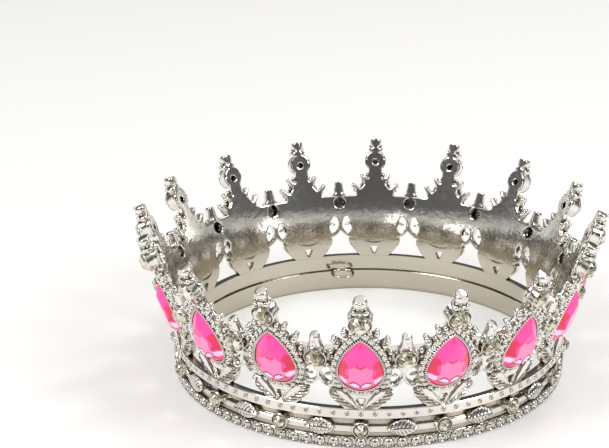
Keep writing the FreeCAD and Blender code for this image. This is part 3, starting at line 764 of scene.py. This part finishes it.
def openWall():  # one segment, with the cells that the outline crosses cut along it
    cols, rows = wall["columns"] + 1, wall["rows"] + 1
    turn, climb = np.meshgrid(np.linspace(-halfTurn, halfTurn, cols),
                              np.linspace(wall["low"], wall["high"], rows), indexing="ij")
    x = radiusAt(climb) * np.sin(turn)
    far = wallDistance(x, climb)
    far = np.where(np.abs(far) < 1e-4, 1e-4, far)
    inside = far < 0

    def crossings(first, second):  # where the outline crosses the grid line between two nodes
        a, b = far[first], far[second]
        t = np.clip(a / np.where(a == b, 1, a - b), 0.03, 0.97)
        return [grid[first] + (grid[second] - grid[first]) * t for grid in (x, climb)]

    every = slice(None)
    acrossX, acrossY = crossings((slice(0, -1), every), (slice(1, None), every))
    upX, upY = crossings((every, slice(0, -1)), (every, slice(1, None)))
    nodes, across = x.size, acrossX.size
    nodeId = np.arange(nodes).reshape(x.shape)
    acrossId = nodes + np.arange(across).reshape(acrossX.shape)
    upId = nodes + across + np.arange(upX.size).reshape(upX.shape)
    corner = [nodeId[:-1, :-1], nodeId[1:, :-1], nodeId[1:, 1:], nodeId[:-1, 1:],
              acrossId[:, :-1], upId[1:], acrossId[:, 1:], upId[:-1]]
    code = (inside[:-1, :-1] + 2 * inside[1:, :-1] + 4 * inside[1:, 1:] + 8 * inside[:-1, 1:])
    flatX = np.concatenate([x.ravel(), acrossX.ravel(), upX.ravel()])
    flatY = np.concatenate([climb.ravel(), acrossY.ravel(), upY.ravel()])
    depthIn = np.concatenate([-far.ravel(), np.zeros(across + upX.size)])
    groups = {3: [], 4: []}
    for case, shapes in cellFaces.items():
        here = code == case
        for shape in shapes:
            groups[len(shape)].append(np.stack([corner[k][here] for k in shape], -1))
    rims = [np.stack([corner[k][code == case] for k in pair], -1)
            for case, pairs in cellEdges.items() for pair in pairs]
    faces = [np.vstack(groups[3]), np.vstack(groups[4])]
    rims = np.vstack(rims)
    used = np.unique(np.concatenate([rows.ravel() for rows in faces]))
    place = np.full(len(flatX), -1)
    place[used] = np.arange(len(used))
    xUsed, yUsed, deep = flatX[used], flatY[used], np.maximum(depthIn[used], 0)

    def rounded(radius):  # a quarter circle, by the depth in from the outline
        e = np.clip(1 - deep / radius, 0, 1)
        return radius * (1 - np.sqrt(1 - e * e))

    outer = wallDepth(xUsed, yUsed) - rounded(wall["edge"])
    prongX, prongY = wall["prongFrom"]
    prong = (yUsed > prongY) & (np.abs(xUsed) > prongX)
    inner = np.where(prong, rounded(wall["prongEdge"]), rounded(wall["innerEdge"]))
    points = np.vstack([onWall(xUsed, yUsed, outer), onWall(xUsed, yUsed, inner)])
    faces = [place[rows] for rows in faces]
    under = [rows[:, ::-1] + len(used) for rows in faces]
    rims = place[rims]
    sides = np.stack([rims[:, 0], rims[:, 1], rims[:, 1] + len(used), rims[:, 0] + len(used)], -1)
    return points, faces + under + [sides]


eyeletShape = {"ring": 4.2, "wire": 0.6, "middle": -64.0, "height": 8.0, "around": 48, "section": 14}


def eyelet():  # a small flat ring of wire inside the band
    around = np.linspace(0, 2 * np.pi, eyeletShape["around"], endpoint=False)[:, None]
    section = np.linspace(0, 2 * np.pi, eyeletShape["section"], endpoint=False)[None, :]
    reach = eyeletShape["ring"] + eyeletShape["wire"] * np.cos(section)
    lift = eyeletShape["wire"] * np.sin(section) + eyeletShape["height"] + 0 * around
    sections = np.stack([reach * np.cos(around), reach * np.sin(around) + eyeletShape["middle"], lift], -1)
    points, faces = closedRound(sections)
    return turned(points, np.pi + halfTurn), faces


def facetRings(rings):  # rings of equal counts, split into triangles
    n = len(rings[0])
    points = np.vstack(rings)
    i = np.arange(n)
    j = (i + 1) % n
    faces = []
    for level in range(len(rings) - 1):
        low, high = level * n, (level + 1) * n
        faces.append(np.stack([low + i, low + j, high + i], -1))
        faces.append(np.stack([low + j, high + j, high + i], -1))
    return points, faces


def splitFaces(points, faces):  # every facet gets its own corners, so that each can have its own tint
    out, rows, base = [], [], 0
    for row in faces:
        flat = points[row.ravel()]
        out.append(flat)
        rows.append(np.arange(len(flat)).reshape(row.shape) + base)
        base += len(flat)
    return np.vstack(out), rows


stoneCut = {
    "sides": 16, "girdle": 0.75, "shoulder": (0.86, 0.62), "table": 0.5,
    "height": 3.0, "bandHeight": 2.4,
}


def roundStone(radius, height):  # foot, girdle, shoulder turned by half a facet, table, and two fans
    n = stoneCut["sides"]
    a = np.arange(n) * 2 * np.pi / n

    def ring(r, h, shift):
        return np.column_stack([r * np.cos(a + shift), r * np.sin(a + shift), np.full(n, h)])

    wide, high = stoneCut["shoulder"]
    rings = [ring(radius, 0, 0), ring(radius, stoneCut["girdle"], 0),
             ring(radius * wide, height * high, np.pi / n), ring(radius * stoneCut["table"], height, 0)]
    points, faces = facetRings(rings)
    points = np.vstack([points, [[0, 0, 0]], [[0, 0, height]]])
    i = np.arange(n)
    j = (i + 1) % n
    top = len(rings) - 1
    faces.append(np.stack([j, i, np.full(n, len(points) - 2)], -1))
    faces.append(np.stack([top * n + i, top * n + j, np.full(n, len(points) - 1)], -1))
    return points, faces


champagne = {
    # the stone's own champagne, then darker, brighter and darkest tones that are painted reflections in the
    # facets
    "tonesAndGlints": np.array([(0.74, 0.70, 0.55), (0.46, 0.42, 0.28), (0.95, 0.93, 0.84), (0.2, 0.18, 0.11)]),
    # painted shade of the gap between the stone and its cup, on the upright girdle
    "girdle": (0.09, 0.08, 0.05),
    "seed": 4,
}


def tintPoints(mesh, tints):  # a colour for each corner, as the attribute that the stones' materials read
    layer = mesh.attributes.new("tint", "FLOAT_COLOR", "POINT")
    layer.data.foreach_set("color", np.hstack([tints, np.ones((len(tints), 1))]).astype(np.float32).ravel())


def clearStones(part, node, seed):  # each pair of facets gets one tone by chance, its darker and brighter tones being painted reflections; the girdle gets a dark one, painted shade of the gap round the stone
    points, faces = splitFaces(*part)
    tonesAndGlints = champagne["tonesAndGlints"]
    chance = np.random.default_rng(seed)
    tints = []
    for level, rows in enumerate(faces):
        pairs = np.repeat(chance.integers(0, len(tonesAndGlints), len(rows) // 2), 2)
        # painted shade on the girdle, painted reflections and the stone's own tone on the facets
        shade = np.tile(champagne["girdle"], (len(rows), 1)) if level < 2 else tonesAndGlints[pairs]
        tints.append(np.repeat(shade, rows.shape[1], axis=0))
    mesh = bpy.data.meshes.new(node + "_cut")
    mesh.from_pydata(points * making["millimetre"], [], np.vstack(faces).tolist())
    mesh.update()
    tintPoints(mesh, np.vstack(tints))
    putOnCrown(node + "_cut", mesh, clearStone, node)


def allStones():  # one piece for each stone on the wall, and one for all those on the band
    for label, key, turns in (("top_stone", "top", segmentTurns), ("side_stone", "side", betweenTurns)):
        cup = cups[key]
        points, faces = roundStone(cup["radius"], stoneCut["height"])
        placed = onPlane(points + [0, 0, cup["height"] - cupRim["seat"]], cup["climb"])
        for index, turn in enumerate(turns):
            clearStones((turned(placed, turn), faces), f"{label}_{index + 1:02d}", champagne["seed"] + index)
    cup = cups["band"]
    points, faces = roundStone(cup["radius"], stoneCut["bandHeight"])
    placed = onBand(points + [0, 0, band["inside"] + cup["height"] - cupRim["seat"]], cup["middle"])
    clearStones(repeated((placed, faces), segmentTurns), "band_stones", champagne["seed"])


pink = {
    # table is the gem's own pink; light, red, edge, glint and deep are painted reflections, highlights and dark
    # lines of the facets under the table
    "table": (0.91, 0.05, 0.34), "light": (0.86, 0.2, 0.46), "red": (0.72, 0.012, 0.075),
    "edge": (0.84, 0.03, 0.19), "glint": (0.92, 0.66, 0.90), "deep": (0.30, 0.004, 0.06),
    "girdle": 0.7, "crown": 3.4, "share": 0.6,  # heights of the cut, and the table's share
    "swell": 0.12, "line": 0.03,  # roundness of the slope, half width of the dark lines
    "steps": 96, "slopeRows": 9, "tableRows": 24,
}


def pinkTints(x, y):  # the facets seen through the table, as painted reflections and glints on the gem's own pink: u from middle to side, v from foot to point
    wide, high, low = pear["width"] / 2, pear["point"], pear["round"]
    u, v = np.abs(x) / wide, np.where(y > 0, y / high, y / low)
    tint = np.zeros(x.shape + (3,))
    tint[:] = pink["table"]

    def paint(mask, key):
        tint[mask] = pink[key]

    thin = pink["line"]
    shelf = 0.25 + 0.07 * np.sin(np.clip(u / 0.42, 0, 1) * np.pi) - 0.25 * np.clip(u - 0.45, 0, 1)
    side = 0.5 + 0.05 * np.abs(np.sin(v * 9)) - 0.3 * np.clip(v, -1, 0)
    foot = -0.30 - 0.175 * (1 - np.clip(u / 0.33, 0, 1)) ** 1.3 - 0.1 * np.clip((u - 0.33) / 0.3, 0, 1)
    heel = -0.64 + 0.17 * np.clip(u / 0.6, 0, 1)
    paint((v < 0.46 - 0.5 * (u - 0.6)) & (v > -0.14) & (u > 0.62 + 0.1 * np.sin(v * 16)), "red")  # side facets, a painted darker reflection
    # a painted lighter reflection across the lower table
    paint((v < shelf) & (v > foot) & (u < side), "light")
    paint((np.abs(v - shelf) < thin) & (u < 0.22), "red")
    paint((v < foot) & (u < 0.66), "edge")
    paint((v < foot - 0.04) & (v > heel + thin) & (u > 0.06) & (u < 0.5), "glint")  # two painted glints at the foot
    paint((np.abs(v - foot) < thin) & (u < 0.5), "deep")
    paint((np.abs(v - heel) < thin) & (u < 0.58), "deep")
    # painted glints at the two lower corners
    paint((u > 0.62) & (v < -0.2) & (v > -0.48), "glint")
    paint((v < -0.66), "edge")
    paint((v > 0.85) & (v < 0.94) & (u < 0.9 * (0.94 - v)), "red")  # a small painted red reflection under the point
    return tint


def pinkGems():  # the pear outline shrunk and lifted: upright girdle, swelling slope, flat table
    steps = pink["steps"]
    slope = np.linspace(0, 1, pink["slopeRows"])
    swell = pink["swell"] * np.sin(slope * np.pi)
    shares = np.vstack([[(1.0, 0.0)],
                        np.column_stack([1 - (1 - pink["share"]) * slope,
                                         pink["girdle"] + (pink["crown"] - pink["girdle"]) * slope + swell]),
                        [(pink["share"] * s, pink["crown"]) for s in np.linspace(1, 0, pink["tableRows"])[1:]]])
    flat = pearLine(0, steps)[None] * shares[:, :1, None]
    points = np.concatenate([flat, np.repeat(shares[:, 1:2, None], steps, axis=1)], -1)
    tints = pinkTints(points[..., 0], points[..., 1])
    tints[:1] = pink["red"]
    placed = gemPlane(points.reshape(-1, 3) + [0, 0, pear["girdle"]])
    faces = gridFaces(len(shares), steps, True)
    bottom = np.arange(steps)[None, ::-1]
    for index, turn in enumerate(segmentTurns):
        node = f"gem_{index + 1:02d}"
        mesh = bpy.data.meshes.new(node + "_cut")
        mesh.from_pydata(turned(placed, turn) * making["millimetre"], [], faces.tolist() + bottom.tolist())
        tintPoints(mesh, tints.reshape(-1, 3))
        weld(mesh)
        putOnCrown(node + "_cut", mesh, pinkGem, node)


makePiece("band_ring", bandRing())
makePiece("rail_beads", railBeads())
makePiece("band_leaves", bandLeaves())
makePiece("stem_leaves", stemLeaves())
makePiece("gem_cups", gemCups())
makePiece("gem_halo", gemHalo())
makePiece("round_cups", roundCups())
makePiece("finials", finials())
makePiece("loose_beads", looseBeads())
wallSegment = openWall()
wallTurns = np.roll(segmentTurns, count // 4)
makePiece("open_wall_front", repeated(wallSegment, wallTurns[:count // 2]))
makePiece("open_wall_back", repeated(wallSegment, wallTurns[count // 2:]))
makePiece("eyelet_ring", eyelet())
allStones()
pinkGems()
print("pieces ready")

view = {
    "lens": 99.3, "sensor": 36, "clip": 0.01,
    "distance": 624.4, "elevation": 24.98, "turn": -1.86,
    "yaw": -2.20, "pitch": 4.54, "roll": 0.43,
}


def aimCamera():  # out along the elevation, then turned by yaw, pitch and roll in that order
    e, yaw, pitch, roll = (np.radians(view[key]) for key in ("elevation", "yaw", "pitch", "roll"))
    back = np.array([0, -np.cos(e), np.sin(e)])
    eye = view["distance"] * back
    ahead, right = -back, np.array([1.0, 0, 0])
    up = np.cross(right, ahead)
    ahead, right = np.cos(yaw) * ahead + np.sin(yaw) * right, np.cos(yaw) * right - np.sin(yaw) * ahead
    ahead, up = np.cos(pitch) * ahead + np.sin(pitch) * up, np.cos(pitch) * up - np.sin(pitch) * ahead
    right, up = np.cos(roll) * right + np.sin(roll) * up, np.cos(roll) * up - np.sin(roll) * right
    spin = -np.radians(view["turn"])
    eye, ahead, right, up = (turned(item, spin) for item in (eye, ahead, right, up))
    data = bpy.data.cameras.new("camera")
    data.lens = view["lens"]
    data.sensor_width = view["sensor"]
    data.clip_start = view["clip"]
    camera = addObject("camera", data)
    axes = Matrix((right, up, -ahead)).transposed().to_4x4()
    camera.matrix_world = Matrix.Translation(eye * making["millimetre"]) @ axes
    bpy.context.scene.camera = camera


aimCamera()

studio = {
    "floor": (0.86, 0.855, 0.84, 1), "floorRoughness": 0.6,
    "floorSize": 3.0,
    "lift": 0.2,           # how much brighter the floor looks than the light makes it
    "lamps": [((-0.7, -0.5, 0.9), 0.5, 5.2), ((0.8, -0.35, 0.7), 0.4, 3.4), ((0.45, 0.6, 1.05), 0.25, 2.2)],
    "sky": [(0.0, 1.0), (0.12, 0.6), (0.24, 0.12), (0.55, 0.1), (0.72, 0.5), (0.95, 0.95)],
    "skyTint": (1, 0.985, 0.96),
    "ambient": (0.55, 0.545, 0.53, 1),
}


def larger(tree, first, second):  # the larger of two outputs
    node = addNode(tree, "ShaderNodeMath", operation="MAXIMUM")
    tree.links.new(first, node.inputs[0])
    tree.links.new(second, node.inputs[1])
    return node.outputs[0]


def paleFloor():  # a square whose lift is seen by the camera, in the metal and through the stones alone
    half = studio["floorSize"] / 2
    mesh = bpy.data.meshes.new("floor")
    corners = [(-half, -half, 0), (half, -half, 0), (half, half, 0), (-half, half, 0)]
    mesh.from_pydata(corners, [], [(0, 1, 2, 3)])
    floor = addObject("floor", mesh)
    material, tree, shader = newMaterial("paleFloor")
    shader.inputs["Base Color"].default_value = studio["floor"]
    shader.inputs["Roughness"].default_value = studio["floorRoughness"]
    shader.inputs["Emission Color"].default_value = (1, 1, 1, 1)
    ray = addNode(tree, "ShaderNodeLightPath").outputs
    lift = addNode(tree, "ShaderNodeMath", operation="MULTIPLY")
    lift.inputs[1].default_value = studio["lift"]
    straight = larger(tree, ray["Is Camera Ray"], ray["Is Glossy Ray"])
    tree.links.new(larger(tree, straight, ray["Is Transmission Ray"]), lift.inputs[0])
    tree.links.new(lift.outputs[0], shader.inputs["Emission Strength"])
    mesh.materials.append(material)


def hangLamps():  # round lamps that face the crown
    for index, (place, size, power) in enumerate(studio["lamps"]):
        data = bpy.data.lights.new(f"lamp{index}", "AREA")
        data.shape = "DISK"
        data.size = size
        data.energy = power
        lamp = addObject(f"lamp{index}", data)
        place = np.array(place)
        away = place / np.linalg.norm(place)
        side = np.cross([0, 0, 1.0], away)
        side /= np.linalg.norm(side)
        axes = Matrix((side, np.cross(away, side), away)).transposed().to_4x4()
        lamp.matrix_world = Matrix.Translation(place) @ axes


def paintWorld():  # white to the camera, a banded sky in the metal, a plain level for all other light
    world = bpy.data.worlds.new("studio")
    world.use_nodes = True
    tree = world.node_tree
    link = tree.links.new
    ray = addNode(tree, "ShaderNodeLightPath").outputs
    place = addNode(tree, "ShaderNodeTexCoord")
    split = addNode(tree, "ShaderNodeSeparateXYZ")
    link(place.outputs["Generated"], split.inputs[0])
    sky = addNode(tree, "ShaderNodeValToRGB")
    while len(sky.color_ramp.elements) < len(studio["sky"]):
        sky.color_ramp.elements.new(0.5)
    for element, (at, value) in zip(sky.color_ramp.elements, studio["sky"]):
        element.position = at
        element.color = tuple(value * part for part in studio["skyTint"]) + (1,)
    link(split.outputs["Z"], sky.inputs["Fac"])
    soft = addNode(tree, "ShaderNodeMix", data_type="RGBA")
    link(ray["Is Glossy Ray"], soft.inputs["Factor"])
    soft.inputs["A"].default_value = studio["ambient"]
    link(sky.outputs["Color"], soft.inputs["B"])
    pick = addNode(tree, "ShaderNodeMix", data_type="RGBA")
    link(larger(tree, ray["Is Camera Ray"], ray["Is Transmission Ray"]), pick.inputs["Factor"])
    link(soft.outputs["Result"], pick.inputs["A"])
    pick.inputs["B"].default_value = (1, 1, 1, 1)
    link(pick.outputs["Result"], tree.nodes["Background"].inputs["Color"])
    bpy.context.scene.world = world
    bpy.context.scene.view_settings.view_transform = "Standard"


paleFloor()
hangLamps()
paintWorld()
print("stage ready")
